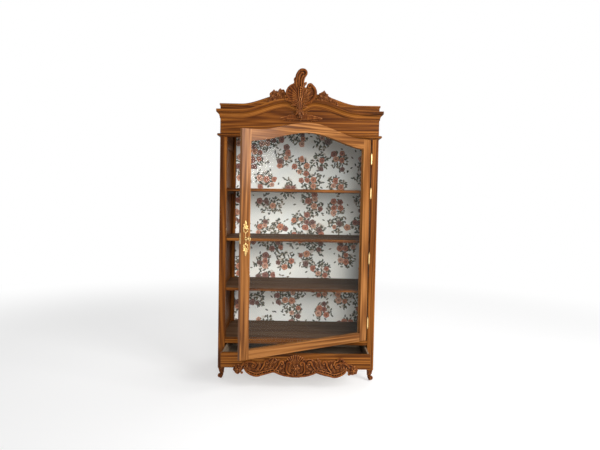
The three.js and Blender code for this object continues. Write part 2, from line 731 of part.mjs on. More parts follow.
function buildDrawer() {
  const frontHalf = openingHalf - drawerGap;
  const sideOuter = openingHalf - 5;
  const sideInner = sideOuter - drawerWall;
  const faceY = 2;
  const boxFront = faceY + drawerFrontThickness + fit;
  const boxBack = carcassDepth - drawerRearSpace;
  const frontTop = drawerBottom + drawerFrontHeight;
  const sideBottom = drawerBottom + 2 + fit;
  const sideTop = frontTop - drawerSideDrop;
  const frontBoard = block([-frontHalf, faceY, drawerBottom], [frontHalf, boxFront - fit, frontTop]);
  addPiece(drawer, 'drawer_front', frontBoard, woods.case);
  for (const [name, side] of [['left', -1], ['right', 1]]) {
    const wall = sideBlock(side, [sideInner, boxFront, sideBottom], [sideOuter, boxBack, sideTop]);
    addPiece(drawer, `drawer_side_${name}`, wall, woods.inside);
    const guide = side * (sideOuter + drawerPlay);
    const runnerTop = sideBottom - fit;
    const outer = side * (sideRailInner - fit);
    const section = polygon([
      [side * sideInner, runnerTop - runner.depth],
      [outer, runnerTop - runner.depth],
      [outer, runnerTop + runner.guideRise],
      [guide, runnerTop + runner.guideRise],
      [guide, runnerTop],
      [side * sideInner, runnerTop],
    ]);
    const bar = frontPlate(section, postSize + fit, backPostFront - fit, 1);
    addPiece(cabinet, `drawer_runner_${name}`, bar, woods.inside);
  }
  const between = sideInner - fit;
  const base = drawerBottom + drawerBaseLift + 2;
  const backWall = block([-between, boxBack - drawerWall, base], [between, boxBack, sideTop]);
  addPiece(drawer, 'drawer_back', backWall, woods.inside);
  const bottomBoard = block(
    [-between, boxFront, base],
    [between, boxBack - drawerWall - fit, base + drawerBaseThickness],
  );
  addPiece(drawer, 'drawer_bottom', bottomBoard, woods.inside);

  // The carving keeps its drawn proportions and stretches with the width of the drawer front
  const drawnHalf = 425;
  const stretch = (frontHalf - apronMargin) / drawnHalf;
  const outline = [
    [-425, 150], [-395, 184], [-360, 168], [-303, 206], [-244, 190], [-192, 216], [-148, 235],
    [-111, 204], [-51, 222], [0, 252], [52, 222], [104, 228], [140, 204], [172, 198], [238, 216],
    [290, 220], [316, 238], [350, 196], [385, 190], [410, 165], [402, 136], [374, 119], [350, 148],
    [307, 122], [270, 100], [188, 112], [128, 130], [77, 110], [3, 94], [-102, 110], [-147, 133],
    [-213, 117], [-265, 97], [-317, 122], [-352, 154], [-391, 113], [-417, 126],
  ].map(([x, z]) => [x * stretch, z - 156 + drawerBottom]);
  const carving = frontPlate(carvedOutline(outline), faceY - fit - apronThickness, faceY - fit, 2);
  addPiece(drawer, 'drawer_apron', carving, woods.carving);
}

buildPosts();
buildFeet();
buildSides();
buildBoards();
buildPediment();
buildCrest();
buildDoorFrame();
buildHinges();
buildLock();
buildDrawer();

// The origin is under the middle of the cabinet's box, as it stands with the door and drawer open
cabinet.updateMatrixWorld(true);
const box = new THREE.Box3().setFromObject(cabinet, true);
const centre = box.getCenter(new THREE.Vector3());
cabinet.position.set(-centre.x, -centre.y, -box.min.z);

export default cabinet;
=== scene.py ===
import json
import math
import random

import bmesh
import bpy
from mathutils import Matrix, Vector

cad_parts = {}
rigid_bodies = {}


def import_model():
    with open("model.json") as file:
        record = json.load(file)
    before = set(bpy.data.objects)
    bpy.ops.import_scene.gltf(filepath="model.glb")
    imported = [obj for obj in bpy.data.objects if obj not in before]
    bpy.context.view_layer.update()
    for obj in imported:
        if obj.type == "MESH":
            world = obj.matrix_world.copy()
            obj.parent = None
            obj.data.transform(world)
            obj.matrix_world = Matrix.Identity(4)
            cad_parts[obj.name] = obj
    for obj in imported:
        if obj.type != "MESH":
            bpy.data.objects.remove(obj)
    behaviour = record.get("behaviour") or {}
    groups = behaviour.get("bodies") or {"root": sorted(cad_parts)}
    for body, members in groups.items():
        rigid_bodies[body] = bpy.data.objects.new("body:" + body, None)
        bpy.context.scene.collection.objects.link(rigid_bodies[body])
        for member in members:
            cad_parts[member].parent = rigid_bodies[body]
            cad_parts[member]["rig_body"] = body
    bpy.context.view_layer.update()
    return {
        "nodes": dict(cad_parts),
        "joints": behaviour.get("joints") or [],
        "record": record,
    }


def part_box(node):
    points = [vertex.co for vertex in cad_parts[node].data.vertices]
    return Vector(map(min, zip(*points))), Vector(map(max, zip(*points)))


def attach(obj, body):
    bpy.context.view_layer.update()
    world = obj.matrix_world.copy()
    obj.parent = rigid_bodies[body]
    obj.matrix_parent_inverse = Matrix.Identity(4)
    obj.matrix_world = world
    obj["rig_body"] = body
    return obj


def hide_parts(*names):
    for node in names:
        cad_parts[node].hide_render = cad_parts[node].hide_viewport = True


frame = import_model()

scene = bpy.context.scene
record = frame["record"]
slotOf = {part["node"]: part["material_slot"] for part in record["subparts"]}
mm = 0.001

# the door is drawn shut, then turned to where it stands open
doorJoint = next(joint for joint in frame["joints"] if joint["name"] == "door_hinge")
hingePoint = Vector(doorJoint["pos_m"])
doorTurn = (Matrix.Translation(hingePoint)
            @ Matrix.Rotation(math.radians(-doorJoint["range_deg"][0]), 4, "Z")
            @ Matrix.Translation(-hingePoint))
stays = Matrix.Identity(4)


def closedBox(node):
    points = [doorTurn.inverted() @ vert.co for vert in frame["nodes"][node].data.vertices]
    low = Vector([min(point[axis] for point in points) for axis in range(3)])
    high = Vector([max(point[axis] for point in points) for axis in range(3)])
    return low, high


class Wire:  # a socket that can be added, multiplied and so on
    def __init__(self, finish, socket):
        self.finish = finish
        self.socket = socket

    def calc(self, operation, first, second=None):
        inputs = {0: first} if second is None else {0: first, 1: second}
        return self.finish.node("ShaderNodeMath", {"operation": operation}, inputs)

    def __add__(self, other):
        return self.calc("ADD", self, other)

    def __radd__(self, other):
        return self.calc("ADD", other, self)

    def __sub__(self, other):
        return self.calc("SUBTRACT", self, other)

    def __rsub__(self, other):
        return self.calc("SUBTRACT", other, self)

    def __mul__(self, other):
        return self.calc("MULTIPLY", self, other)

    def __rmul__(self, other):
        return self.calc("MULTIPLY", other, self)

    def __truediv__(self, other):
        return self.calc("DIVIDE", self, other)

    def __rtruediv__(self, other):
        return self.calc("DIVIDE", other, self)

    def sine(self):
        return self.calc("SINE", self)

    def root(self):
        return self.calc("SQRT", self)

    def fraction(self):
        return self.calc("FRACT", self)

    def size(self):
        return self.calc("ABSOLUTE", self)

    def over(self, edge):
        return self.calc("GREATER_THAN", self, edge)

    def under(self, edge):
        return self.calc("LESS_THAN", self, edge)

    def angle(self, across):  # of the direction (across, self), in radians
        return self.calc("ARCTAN2", self, across)


class Finish:  # a material while it is being wired
    def __init__(self, name, **values):
        self.material = bpy.data.materials.new(name)
        self.material.use_nodes = True
        self.tree = self.material.node_tree
        self.shader = self.tree.nodes["Principled BSDF"]
        for socket, value in values.items():
            self.shader.inputs[socket.replace("_", " ")].default_value = value

    def node(self, kind, settings=None, inputs=None, output=0):
        made = self.tree.nodes.new(kind)
        for name, value in (settings or {}).items():
            if name == "stops":
                self.setStops(made.color_ramp, value)
            else:
                setattr(made, name, value)
        for name, value in (inputs or {}).items():
            self.feed(made.inputs[name], value)
        return Wire(self, made.outputs[output])

    def setStops(self, ramp, stops):
        stops = list(stops)
        ramp.elements.remove(ramp.elements[-1])
        ramp.elements[0].position = stops[0][0]
        ramp.elements[0].color = (*stops[0][1], 1)
        for position, colour in stops[1:]:
            ramp.elements.new(position).color = (*colour, 1)

    def feed(self, socket, value):
        if isinstance(value, Wire):
            self.tree.links.new(value.socket, socket)
        elif isinstance(value, tuple) and socket.type == "RGBA":
            socket.default_value = (*value, 1)
        else:
            socket.default_value = value

    def noise(self, vector, scale, detail=2.0, rough=0.5):
        return self.node("ShaderNodeTexNoise", None, {
            "Vector": self.stretch(vector, scale), "Scale": 1.0,
            "Detail": detail, "Roughness": rough})

    def vectors(self, operation, first, second):
        return self.node("ShaderNodeVectorMath", {"operation": operation}, {0: first, 1: second})

    def stretch(self, vector, scale):
        return self.vectors("MULTIPLY", vector, scale)

    def vectorSum(self, first, second):
        return self.vectors("ADD", first, second)

    def split(self, vector):
        parts = self.node("ShaderNodeSeparateXYZ", None, {0: vector})
        return [Wire(self, socket) for socket in parts.socket.node.outputs]

    def ramp(self, factor, stops):
        return self.node("ShaderNodeValToRGB", {"stops": stops}, {0: factor})

    def fade(self, value, low, high):  # 0 below low, 1 above high
        return self.node("ShaderNodeMapRange", {"interpolation_type": "SMOOTHSTEP"},
                         {"Value": value, "From Min": low, "From Max": high})

    def mix(self, factor, first, second):  # two colours
        return self.node("ShaderNodeMix", {"data_type": "RGBA"},
                         {0: factor, 6: first, 7: second}, 2)

    def bump(self, height, strength, distance):
        return self.node("ShaderNodeBump", None,
                         {"Height": height, "Strength": strength, "Distance": distance})

    def done(self, **inputs):
        for name, value in inputs.items():
            self.feed(self.shader.inputs[name.replace("_", " ")], value)
        return self.material


# four tones from the dark veins to the bright figure, in linear light
woodLooks = {
    "caseWood": {"tones": [(0.022, 0.006, 0.001), (0.073, 0.020, 0.003), (0.140, 0.043, 0.006),
                           (0.270, 0.098, 0.017)], "rough": 0.38, "coat": 0.05, "veins": 0.75},
    "doorWood": {"tones": [(0.060, 0.017, 0.003), (0.145, 0.050, 0.010), (0.230, 0.090, 0.022),
                           (0.340, 0.150, 0.046)], "rough": 0.34, "coat": 0.13, "veins": 0.70},
    "insideWood": {"tones": [(0.040, 0.016, 0.007), (0.090, 0.042, 0.020), (0.140, 0.076, 0.040),
                             (0.200, 0.120, 0.072)], "rough": 0.66, "coat": 0.0, "veins": 0.45},
    "drawerWood": {"tones": [(0.110, 0.071, 0.043), (0.180, 0.125, 0.083), (0.235, 0.173, 0.120),
                             (0.295, 0.228, 0.168)], "rough": 0.55, "coat": 0.0, "veins": 0.15},
}
grainLook = {"rings": 95.0, "lean": 0.02, "bend": 0.030, "veinWidth": 0.030, "pores": 0.45,
             "relief": 0.0004}  # rings to a metre; the rest in metres or shares


def walnut(name):
    look = woodLooks[name]
    wood = Finish(name, Coat_Weight=look["coat"], Coat_Roughness=0.14, Coat_IOR=1.45,
                  Specular_IOR_Level=0.07)
    grain = wood.node("ShaderNodeAttribute", {"attribute_name": "grain"}, output="Vector")
    drift = wood.node("ShaderNodeTexNoise", None, {
        "Vector": wood.stretch(grain, (0.9, 5.0, 5.0)), "Scale": 1.0, "Detail": 1.0}, "Color")
    shift = wood.stretch(wood.vectorSum(drift, (-0.5, -0.5, -0.5)),
                         (0.0, grainLook["bend"], grainLook["bend"]))
    bent = wood.vectorSum(grain, shift)
    along, across, through = wood.split(bent)
    lean = through + along * grainLook["lean"]  # the heart of the tree leans away from the board
    rings = (across * across + lean * lean).root() * grainLook["rings"]
    figure = (rings * math.tau).sine() * 0.5 + 0.5
    streaks = wood.noise(bent, (0.5, 85.0, 85.0), 4.0, 0.60)
    fibres = wood.noise(grain, (7.0, 420.0, 420.0), 2.0)
    clouds = wood.noise(grain, (1.1, 9.0, 9.0), 2.0)
    tone = figure * 0.15 + streaks * 0.95 + fibres * 0.16 + clouds * 0.40 - 0.33
    dark = look["tones"][0]
    colour = wood.ramp(tone, zip((0.22, 0.42, 0.56, 0.76), look["tones"]))
    wander = wood.noise(bent, (0.6, 18.0, 18.0), 3.0)
    vein = 1.0 - wood.fade((wander - 0.5).size(), 0.004, grainLook["veinWidth"])
    patch = wood.fade(wood.noise(grain, (0.8, 4.0, 4.0)), 0.42, 0.62)
    colour = wood.mix(vein * patch * look["veins"], colour, dark)
    pores = wood.fade(wood.noise(grain, (60.0, 1500.0, 1500.0), 1.0), 0.64, 0.74)
    colour = wood.mix(pores * grainLook["pores"], colour, dark)
    return wood.done(
        Base_Color=colour,
        Roughness=look["rough"] + streaks * 0.14 + pores * 0.2,
        Normal=wood.bump(fibres * 0.5 - pores * 0.8 + streaks * 0.4, 0.22, grainLook["relief"]))


carvedLook = {
    "tones": [(0.085, 0.019, 0.003), (0.165, 0.045, 0.007), (0.260, 0.082, 0.015)],
    # the recess colour is painted shade and the raised-edge colour a painted highlight; the last
    # value is the coat's weight
    "hollows": (0.006, 0.002, 0.001), "ridges": (0.60, 0.260, 0.100), "polish": 0.60,
}


def carvedWalnut():  # painted shade darkens the recesses, and a painted highlight brightens the raised edges, which also get a glossy coat
    wood = Finish("carvedWood", Coat_Roughness=0.16, Coat_IOR=1.5, Specular_IOR_Level=0.10)
    place = wood.node("ShaderNodeTexCoord", output="Object")
    ridge = wood.node("ShaderNodeNewGeometry", output="Pointiness")
    streaks = wood.noise(place, (60.0, 60.0, 14.0), 4.0, 0.6)
    # painted shade: near-black colour laid into the recesses (low pointiness) stands in for the
    # shade that falls there
    wearAndShade = wood.ramp(ridge, [(0.470, (0, 0, 0)), (0.497, (0.50, 0.50, 0.50)), (0.53, (1, 1, 1))])
    body = wood.ramp(streaks, zip((0.32, 0.50, 0.68), carvedLook["tones"]))
    hollow = wood.mix(wearAndShade, carvedLook["hollows"], body)
    # painted highlight: a pale colour on the raised edges stands in for glints of light; the same
    # mask also raises the real coat and lowers the roughness
    polish = wood.fade(ridge, 0.515, 0.575)
    colour = wood.mix(polish * 0.75, hollow, carvedLook["ridges"])
    return wood.done(
        Base_Color=colour,
        Coat_Weight=polish * carvedLook["polish"],
        Roughness=0.50 - polish * 0.14 + streaks * 0.08,
        Normal=wood.bump(streaks, 0.18, 0.0008))


brassLook = {"tones": [(0.22, 0.115, 0.028), (0.60, 0.39, 0.13), (0.90, 0.68, 0.31)],
             "rough": 0.20, "tarnish": 0.24}


def agedBrass():
    brass = Finish("agedBrass", Metallic=1.0)
    place = brass.node("ShaderNodeTexCoord", output="Object")
    ridge = brass.node("ShaderNodeNewGeometry", output="Pointiness")
    stain = brass.noise(place, (260.0, 260.0, 260.0), 4.0, 0.65)
    wearAndShade = brass.fade(ridge, 0.46, 0.56)
    shade = brass.ramp(wearAndShade * 0.6 + stain * 0.5, zip((0.18, 0.45, 0.75), brassLook["tones"]))
    return brass.done(Base_Color=shade,
                      Roughness=brassLook["rough"] + stain * brassLook["tarnish"],
                      Normal=brass.bump(stain, 0.10, 0.0004))


glassLook = {"tint": (0.985, 0.99, 0.98), "shine": 0.55, "leastShine": 0.015, "edge": 0.16}


def clearGlass():
    glass = Finish("doorGlass", Base_Color=(0.20, 0.21, 0.20, 1), Roughness=0.03,
                   Specular_IOR_Level=1.0)
    clear = glass.node("ShaderNodeBsdfTransparent", None, {"Color": glassLook["tint"]})
    edge = glass.node("ShaderNodeLayerWeight", None, {"Blend": glassLook["edge"]}, "Fresnel")
    pane = glass.node("ShaderNodeMixShader", None, {
        0: edge * glassLook["shine"] + glassLook["leastShine"],
        1: clear, 2: Wire(glass, glass.shader.outputs[0])})
    output = glass.tree.nodes["Material Output"]
    glass.tree.links.new(pane.socket, output.inputs["Surface"])
    return glass.material


# sizes in metres; "each" is how far apart the sprays, roses and leaves stand
floral = {
    "sprayEach": 0.170, "sprayReach": 0.082, "sprayFade": 0.020, "ragged": 0.13,
    "roseEach": 0.056, "roseReach": 0.028, "petalEach": 0.0120, "heart": 0.016,
    "leafEach": 0.028, "leafLength": 0.0152, "leafWidth": 0.0064,
    "leafLayers": [(1.3, 0.95), (7.9, 0.95), (4.6, 0.75)],
}


def floralCloth():
    cloth = Finish("floralCloth", Roughness=0.92, Sheen_Weight=0.15)
    place = cloth.node("ShaderNodeTexCoord", output="Object")
    across, _, up = cloth.split(place)
    flat = cloth.node("ShaderNodeCombineXYZ", None, {0: across, 1: up})

    # the nearest cell's distance, random numbers, direction and middle
    def cells(point, each, shift, loose):
        moved = cloth.vectorSum(point, (shift, shift * 0.7, 0.0))
        settings = {"voronoi_dimensions": "2D", "feature": "F1"}
        found = cloth.node("ShaderNodeTexVoronoi", settings,
                           {"Vector": moved, "Scale": 1 / each, "Randomness": loose})
        outputs = found.socket.node.outputs
        centre = Wire(cloth, outputs["Position"])
        away = cloth.vectors("SUBTRACT", moved, centre)
        home = cloth.vectorSum(centre, (-shift, -shift * 0.7, 0.0))
        return found * each, cloth.split(Wire(cloth, outputs["Color"])), cloth.split(away), home

    def inSpray(point):  # 1 in the heart of a spray of flowers, 0 outside it
        near = cells(point, floral["sprayEach"], 3.1, 0.75)[0]
        ragged = (cloth.noise(point, (17.0, 17.0, 1.0), 2.0) - 0.5) * floral["ragged"]
        reach = floral["sprayReach"]
        return 1.0 - cloth.fade(near + ragged, reach - floral["sprayFade"], reach)

    def leaves(shift, show):
        pick, away, home = cells(flat, floral["leafEach"], shift, 0.9)[1:]
        turn = pick[0] * math.tau
        lean, rise = turn.sine(), (turn + math.pi / 2).sine()
        length = (away[0] * rise + away[1] * lean) / floral["leafLength"]
        width = (away[1] * rise - away[0] * lean).size() / floral["leafWidth"]
        inside = cloth.fade(1.0 - length * length - width, 0.0, 0.12)
        keep = pick[1].under(inSpray(home) * show + 0.04)
        vein = 1.0 - cloth.fade(width, 0.03, 0.16)
        tint = cloth.ramp(pick[2], [(0.2, (0.014, 0.018, 0.010)), (0.55, (0.040, 0.044, 0.024)),
                                    (0.85, (0.170, 0.130, 0.080))])
        return inside * keep, cloth.mix(vein * 0.35, tint, (0.30, 0.33, 0.22))

    thread = cloth.noise(flat, (900.0, 900.0, 1.0), 1.0)
    wash = cloth.noise(flat, (5.0, 5.0, 1.0), 2.0)
    colour = cloth.ramp(wash, [(0.35, (0.84, 0.85, 0.84)), (0.65, (0.92, 0.90, 0.86))])

    faint = cells(flat, floral["roseEach"], 5.7, 0.9)[0]
    blush = (1.0 - cloth.fade(faint, 0.006, 0.030)) * inSpray(flat)
    colour = cloth.mix(blush * 0.60, colour, (0.40, 0.28, 0.20))
    for shift, show in floral["leafLayers"]:
        inside, tint = leaves(shift, show)
        colour = cloth.mix(inside * 0.94, colour, tint)

    reach, pick, away, home = cells(flat, floral["roseEach"], 0.4, 0.65)
    angle = away[1].angle(away[0])
    wavy = (angle * 5.0 + pick[1] * 6.0).sine() * 0.0016
    edge = wavy + floral["roseReach"] * (pick[2] * 0.35 + 0.68)
    rose = (1.0 - cloth.fade(reach - edge, -0.0012, 0.0004)) * inSpray(home).over(0.45)
    rose = rose * pick[0].over(0.30)
    petal = (reach / floral["petalEach"] + angle / math.tau + pick[1]).fraction()
    roseTint = cloth.ramp(pick[1], [(0.12, (0.100, 0.012, 0.006)), (0.32, (0.270, 0.038, 0.014)),
                                    (0.55, (0.600, 0.135, 0.042)), (0.75, (0.780, 0.270, 0.110)),
                                    (0.95, (0.840, 0.430, 0.280))])
    folds = cloth.mix(0.62, roseTint, (0.06, 0.008, 0.008))
    rims = cloth.mix(0.22, roseTint, (0.95, 0.80, 0.70))
    lit = cloth.mix(cloth.fade(petal, 0.05, 0.95), folds, rims)
    heart = 1.0 - cloth.fade(reach, 0.003, floral["heart"])
    colour = cloth.mix(rose, colour, cloth.mix(heart * 0.60, lit, (0.075, 0.010, 0.006)))

    colour = cloth.mix(thread * 0.10, colour, (0.50, 0.47, 0.44))
    return cloth.done(Base_Color=colour, Normal=cloth.bump(thread, 0.12, 0.0002))


finishes = {
    "case_wood": walnut("caseWood"), "door_wood": walnut("doorWood"),
    "inside_wood": walnut("insideWood"), "drawer_wood": walnut("drawerWood"),
    "carved_wood": carvedWalnut(), "brass": agedBrass(), "glass": clearGlass(),
    "lining": floralCloth(),
}
print("finishes mixed")


def curveOf(node):  # height of a moulding's lower back edge, from one end of the front to the other
    points = [vert.co for vert in frame["nodes"][node].data.vertices]
    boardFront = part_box("pediment_board")[0].y
    lowest = {}
    for point in points:
        if abs(point.y - boardFront) < 0.0006:
            place = round(point.x, 3)
            lowest[place] = min(lowest.get(place, point.z), point.z)
    return sorted(lowest.items())


def heightAt(curve, x):
    for (x0, z0), (x1, z1) in zip(curve, curve[1:]):
        if x <= x1:
            return z0 + (z1 - z0) * max(0, x - x0) / (x1 - x0)
    return curve[-1][1]


# each board keeps its own run of the grain: along, across and through the board
def setGrain(mesh, run, turn, seed, curve=None):
    draw = random.Random(seed)
    start = Vector((draw.uniform(0, 9), draw.uniform(-0.10, 0.10), draw.uniform(0.03, 0.13)))
    order = {"x": (0, 2, 1), "y": (1, 2, 0), "z": (2, 0, 1), "round": (0, 2, 1)}[run]
    back = turn.inverted()
    centre = sum((back @ vert.co for vert in mesh.vertices), Vector()) / len(mesh.vertices)
    flat = []
    front = min(vert.co.y for vert in mesh.vertices) - centre.y
    for vert in mesh.vertices:
        point = back @ vert.co - centre
        if run == "round":  # a moulding's grain follows its curve and goes round the corners
            point.z -= heightAt(curve, vert.co.x)
            point = Vector((point.x + math.copysign(point.y - front, point.x), 0, point.z))
        flat.extend(point[axis] + start[place] for place, axis in enumerate(order))
    mesh.attributes.new("grain", "FLOAT_VECTOR", "POINT").data.foreach_set("vector", flat)


def makePiece(name, mesh, nodes, run="z", turn=stays):
    cadNode = frame["nodes"][nodes[0]]
    slot = slotOf[nodes[0]]
    setGrain(mesh, run, turn, name, curveOf(nodes[0]) if run == "round" else None)
    mesh.materials.clear()
    mesh.materials.append(finishes[slot])
    piece = bpy.data.objects.new(name, mesh)
    scene.collection.objects.link(piece)
    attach(piece, cadNode["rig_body"])
    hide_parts(*nodes)
    return piece


def meshFrom(name, bm, sharpAngle=35):
    mesh = bpy.data.meshes.new(name)
    bmesh.ops.recalc_face_normals(bm, faces=bm.faces)
    bm.to_mesh(mesh)
    bm.free()
    mesh.shade_smooth()
    mesh.set_sharp_from_angle(angle=math.radians(sharpAngle))
    return mesh


def evenShading(piece):
    weigh = piece.modifiers.new("even_shading", "WEIGHTED_NORMAL")
    weigh.keep_sharp = True


def boardBlank(node):
    bm = bmesh.new()
    bm.from_mesh(frame["nodes"][node].data)
    bmesh.ops.remove_doubles(bm, verts=bm.verts, dist=0.00002)
    bmesh.ops.dissolve_limit(bm, angle_limit=math.radians(0.4), verts=bm.verts, edges=bm.edges)
    return bm


cornerAngle = 28  # edges sharper than this are eased


def easeEdges(bm, width, segments=3):
    edges = [edge for edge in bm.edges
             if edge.is_manifold and edge.calc_face_angle(0) > math.radians(cornerAngle)]
    bmesh.ops.bevel(bm, geom=edges, offset=width, affect="EDGES", segments=segments,
                    profile=0.5, material=-1, clamp_overlap=True)


def easedBoard(node, run, width):
    bm = boardBlank(node)
    easeEdges(bm, width)
    turn = doorTurn if frame["nodes"][node]["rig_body"] == "door" else stays
    piece = makePiece(node + "_finished", meshFrom(node, bm), [node], run, turn)
    evenShading(piece)


boards = {
    "z": ["front_post_left", "front_post_right", "back_post_left", "back_post_right", "back_board",
          "door_stile_lock", "door_stile_hinge", "glazing_bead"],
    "x": ["floor_board", "drawer_head_rail", "roof_board", "shelf_1", "shelf_2", "shelf_3",
          "pediment_board", "door_bottom_rail", "door_top_rail", "drawer_front", "drawer_back",
          "drawer_bottom"],
    "round": ["cornice", "cap_moulding", "astragal"],
    "y": ["side_bottom_rail_left", "side_bottom_rail_right", "side_top_rail_left",
          "side_top_rail_right", "drawer_runner_left", "drawer_runner_right", "drawer_side_left",
          "drawer_side_right"] + [f"shelf_cleat_{number}_{side}" for number in (1, 2, 3)
                                  for side in ("left", "right")],
}
easeWidths = {"others": 0.0016, "front_post_left": 0.0030, "front_post_right": 0.0030,
              "drawer_front": 0.0030, "cornice": 0.0022, "glazing_bead": 0.0008,
              "drawer_bottom": 0.0008, "door_top_rail": 0.0028, "door_bottom_rail": 0.0028,
              "door_stile_lock": 0.0028, "door_stile_hinge": 0.0028}


def makeBoards():
    for run, nodes in boards.items():
        for node in nodes:
            easedBoard(node, run, easeWidths.get(node, easeWidths["others"]))
    for node in ("floor_board", "shelf_1", "shelf_2", "shelf_3"):  # polished front edges
        mesh = bpy.data.objects[node + "_finished"].data
        mesh.materials.append(finishes["case_wood"])
        front = min(vert.co.y for vert in mesh.vertices)
        for face in mesh.polygons:
            if face.center.y < front + 0.004:
                face.material_index = 1
    for part in ("side_left", "side_right", "back", "bottom"):  # the drawer's box is a paler wood
        bpy.data.objects[f"drawer_{part}_finished"].data.materials[0] = finishes["drawer_wood"]


fielding = {"margin": 0.045, "chamfer": 0.016, "rise": 0.005, "ease": 0.0010, "sharp": 12}


def makeSidePanels():
    for side, name in ((-1, "left"), (1, "right")):
        bm = boardBlank(f"side_panel_{name}")
        outer = max(bm.faces, key=lambda face: face.calc_center_median().x * side)
        bmesh.ops.inset_region(bm, faces=[outer], thickness=fielding["margin"])
        bmesh.ops.inset_region(bm, faces=[outer], thickness=fielding["chamfer"],
                               depth=fielding["rise"])
        easeEdges(bm, fielding["ease"])
        mesh = meshFrom("panel", bm, fielding["sharp"])
        panel = makePiece(f"side_panel_{name}_fielded", mesh, [f"side_panel_{name}"], "z")
        evenShading(panel)
        panel.data.materials.clear()
        panel.data.materials.append(finishes["case_wood"])


makeBoards()
makeSidePanels()
print("boards and panels eased")


# Carving tools. They work in millimetres on the front plane (x, z); "back" is how far the
# surface that they grow from lies behind it, and relief stands out towards the front.
# "chisel" is the finest detail that is kept, and "backing" the board behind it.
carving = {
    "crest": {"chisel": 0.0017, "backing": 6}, "sprays": {"chisel": 0.0015, "backing": 7},
    "apron": {"chisel": 0.0020, "backing": 7}, "feet": {"chisel": 0.0014, "top": 81.7},
    "escutcheon": {"chisel": 0.0007},
}


def between(values, share):
    place = share * (len(values) - 1)
    index = min(int(place), len(values) - 2)
    return values[index] + (values[index + 1] - values[index]) * (place - index)


def addStroke(bm, points, fat, back=0.0, rise=0.0, depth=1.0):
    line = bpy.data.curves.new("stroke", "CURVE")
    line.dimensions = "3D"
    line.bevel_depth = 1.0
    line.bevel_resolution = 3
    line.resolution_u = 7
    line.use_fill_caps = True
    spline = line.splines.new("BEZIER")
    spline.bezier_points.add(len(points) - 1)
    for index, (knot, point) in enumerate(zip(spline.bezier_points, points)):
        knot.co = (point[0], 0, point[1])
        knot.radius = between(fat, index / (len(points) - 1))
        knot.handle_left_type = "AUTO"
        knot.handle_right_type = "AUTO"
    holder = bpy.data.objects.new("stroke", line)
    mesh = bpy.data.meshes.new_from_object(holder)
    mesh.transform(Matrix.Translation((0, back - rise, 0)) @ Matrix.Diagonal((1, depth, 1, 1)))
    bm.from_mesh(mesh)
    bpy.data.objects.remove(holder)
    bpy.data.curves.remove(line)
    bpy.data.meshes.remove(mesh)


def spiral(centre, reach, start, turns, core=0.16):
    steps = max(8, int(abs(turns) * 10))
    points = []
    for step in range(steps + 1):
        share = step / steps
        angle = math.radians(start + 360 * turns * share)
        radius = reach * (core + (1 - core) * (1 - share) ** 1.1)
        points.append((centre[0] + radius * math.cos(angle), centre[1] + radius * math.sin(angle)))
    return points


def growFromBack(bm, verts, back):
    faces = list(dict.fromkeys(face for vert in verts for face in vert.link_faces))
    grown = bmesh.ops.extrude_face_region(bm, geom=faces)["geom"]
    for item in grown:
        if isinstance(item, bmesh.types.BMVert):
            item.co.y = back


def addLeaf(bm, root, tip, width, depth=9.0, bend=0.0, lobes=4, back=0.0, curl=0.35):
    root, tip = Vector(root), Vector(tip)
    run = tip - root
    side = Vector((-run.y, run.x)).normalized()
    steps = max(8, min(22, int(run.length / 4)))
    grid = bmesh.ops.create_grid(bm, x_segments=steps, y_segments=10, size=1)["verts"]
    for vert in grid:
        u = vert.co.x * 0.5 + 0.5
        v = vert.co.y
        half = width / 2 * (math.sin(math.pi * min(u * 0.93 + 0.05, 1)) ** 0.75) + 0.4
        scallop = 1 - 0.34 * abs(v) ** 2 * (1 - abs(math.sin(math.pi * lobes * u))) if lobes else 1
        spine = root + run * u + side * bend * width * math.sin(math.pi * u)
        place = spine + side * v * half * scallop
        flute = 0.80 + 0.20 * math.cos(3 * math.pi * v) - 0.12 * math.exp(-(v * 9) ** 2)
        swell = math.sin(math.pi * min(0.16 + u * 0.70, 1)) * (1 - 0.50 * v * v) * flute
        vert.co = (place.x, back - depth * (swell + curl * u * u * (1 - v * v)), place.y)
    growFromBack(bm, grid, back + 1.0)


def addShell(bm, centre, reach, fromAngle, toAngle, ribs, depth=10.0, back=0.0, hub=0.15):
    grid = bmesh.ops.create_grid(bm, x_segments=12, y_segments=ribs * 7, size=1)["verts"]
    for vert in grid:
        u = vert.co.x * 0.5 + 0.5
        v = vert.co.y * 0.5 + 0.5
        angle = math.radians(fromAngle + (toAngle - fromAngle) * v)
        rib = abs(math.sin(math.pi * ribs * v)) ** 0.7
        radius = reach * (hub + (1 - hub) * u) * (1 + 0.09 * u * (rib - 0.6))
        height = depth * (0.35 + 0.65 * rib * (0.3 + 0.7 * u)) * (1 - 0.35 * u ** 4)
        vert.co = (centre[0] + radius * math.cos(angle), back - height,
                   centre[1] + radius * math.sin(angle))
    growFromBack(bm, grid, back + 1.0)


def addBead(bm, centre, radius, back=0.0, depth=1.0):
    place = Matrix.Translation((centre[0], back, centre[1])) @ Matrix.Diagonal((1, depth, 1, 1))
    bmesh.ops.create_icosphere(bm, subdivisions=3, radius=radius, matrix=place)


def addRose(bm, centre, reach, depth=12.0, back=0.0, petals=5, turn=0.0):
    for layer, (share, rise, count) in enumerate(((1.0, 0.62, petals), (0.62, 0.95, petals - 1))):
        for petal in range(count):
            angle = math.radians(turn + 360 * (petal + 0.5 * layer) / count)
            tip = (centre[0] + reach * share * math.cos(angle),
                   centre[1] + reach * share * math.sin(angle))
            addLeaf(bm, centre, tip, reach * share * 1.15, depth * rise, 0, 0, back, 0.45)
    addBead(bm, centre, reach * 0.24, back - depth * 0.85, 0.8)


def addBacking(bm, node, origin, thick):  # the carving's own outline, thinned to a board
    start = len(bm.verts)
    bm.from_mesh(frame["nodes"][node].data)
    bm.verts.ensure_lookup_table()
    for vert in bm.verts[start:]:
        vert.co = (vert.co - origin) / mm
        vert.co.y = max(vert.co.y, -thick)


